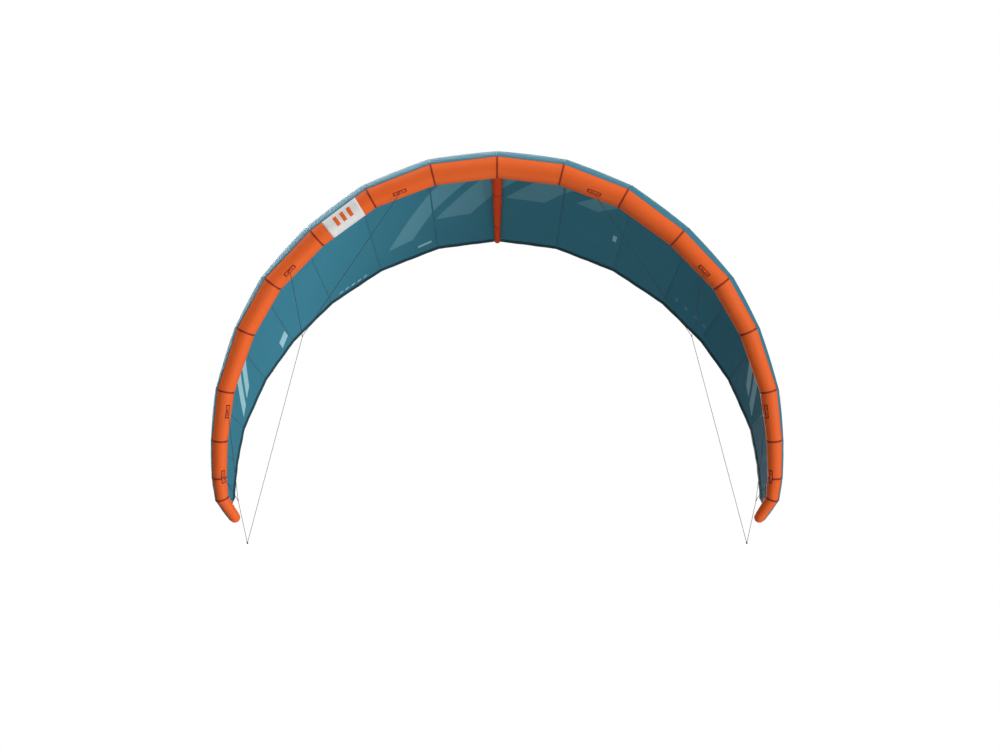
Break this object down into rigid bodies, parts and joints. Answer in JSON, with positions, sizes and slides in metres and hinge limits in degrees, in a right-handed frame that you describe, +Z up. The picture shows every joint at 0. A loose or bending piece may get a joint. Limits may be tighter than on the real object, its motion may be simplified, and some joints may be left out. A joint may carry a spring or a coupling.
{
  "type": "kitesurf kite",
  "caption": "Single-strut inflatable kite with arched canopy, tapered inflated leading edge, bridle and inflation valve, in flying attitude.",
  "frame": {"origin": "axis of the inflated leading edge in the symmetry plane, where a helper holds the kite to launch it", "axes": "+X along the span to the kite's right-hand side as seen from the front, +Y from leading edge to trailing edge along the level centre chord, +Z up; the arch opens downwards"},
  "size_m": [3.6014, 1.8138, 2.4879],
  "materials": {
    "le_cloth": "satin woven polyester",
    "strut_cloth": "satin woven polyester",
    "canopy_cloth": "coated ripstop",
    "hem_cloth": "coated woven tape",
    "bladder_film": "translucent film",
    "bridle_cord": "braided",
    "tab_webbing": "stitched webbing",
    "valve_plastic": "satin moulded"
  },
  "bodies": {
    "kite": {"bridle_knots": "bridle_cord", "bridle_line_1_left": "bridle_cord", "bridle_line_1_right": "bridle_cord", "bridle_line_2_left": "bridle_cord", "bridle_line_2_right": "bridle_cord", "bridle_line_3_left": "bridle_cord", "bridle_line_3_right": "bridle_cord", "bridle_line_4_left": "bridle_cord", "bridle_line_4_right": "bridle_cord", "bridle_tabs": "tab_webbing", "canopy_panel_1_left": "canopy_cloth", "canopy_panel_1_right": "canopy_cloth", "canopy_panel_2_left": "canopy_cloth", "canopy_panel_2_right": "canopy_cloth", "canopy_panel_3_left": "canopy_cloth", "canopy_panel_3_right": "canopy_cloth", "canopy_panel_4_left": "canopy_cloth", "canopy_panel_4_right": "canopy_cloth", "canopy_panel_5_left": "canopy_cloth", "canopy_panel_5_right": "canopy_cloth", "canopy_panel_6_left": "canopy_cloth", "canopy_panel_6_right": "canopy_cloth", "canopy_tip_panel_left": "canopy_cloth", "canopy_tip_panel_right": "canopy_cloth", "le_bladder": "bladder_film", "le_segment_10_left": "le_cloth", "le_segment_10_right": "le_cloth", "le_segment_1_left": "le_cloth", "le_segment_1_right": "le_cloth", "le_segment_2_left": "le_cloth", "le_segment_2_right": "le_cloth", "le_segment_3_left": "le_cloth", "le_segment_3_right": "le_cloth", "le_segment_4_left": "le_cloth", "le_segment_4_right": "le_cloth", "le_segment_5_left": "le_cloth", "le_segment_5_right": "le_cloth", "le_segment_6_left": "le_cloth", "le_segment_6_right": "le_cloth", "le_segment_7_left": "le_cloth", "le_segment_7_right": "le_cloth", "le_segment_8_left": "le_cloth", "le_segment_8_right": "le_cloth", "le_segment_9_left": "le_cloth", "le_segment_9_right": "le_cloth", "strut_bladder": "bladder_film", "strut_cover": "strut_cloth", "trailing_edge_hem_left": "hem_cloth", "trailing_edge_hem_right": "hem_cloth", "valve_body": "valve_plastic"},
    "left_bridle": {"bridle_end_knot_left": "bridle_cord", "bridle_line_main_left": "bridle_cord", "bridle_line_tip_left": "bridle_cord"},
    "right_bridle": {"bridle_end_knot_right": "bridle_cord", "bridle_line_main_right": "bridle_cord", "bridle_line_tip_right": "bridle_cord"},
    "cap": {"valve_cap": "valve_plastic"}
  },
  "joints": [
    {"name": "left_bridle_swing", "type": "hinge", "parent": "kite", "child": "left_bridle", "pos_m": [-1.2, 0.171, -1.038], "axis": [0.3692, -0.2859, 0.8843], "range_deg": [-40, 40]},
    {"name": "right_bridle_swing", "type": "hinge", "parent": "kite", "child": "right_bridle", "pos_m": [1.2, 0.171, -1.038], "axis": [0.3692, 0.2859, -0.8843], "range_deg": [-40, 40]},
    {"name": "valve_cap_hinge", "type": "hinge", "parent": "kite", "child": "cap", "pos_m": [0.16528, 0.09523, -0.01936], "axis": [0.9932, 0.0262, -0.1132], "range_deg": [0, 120]}
  ]
}
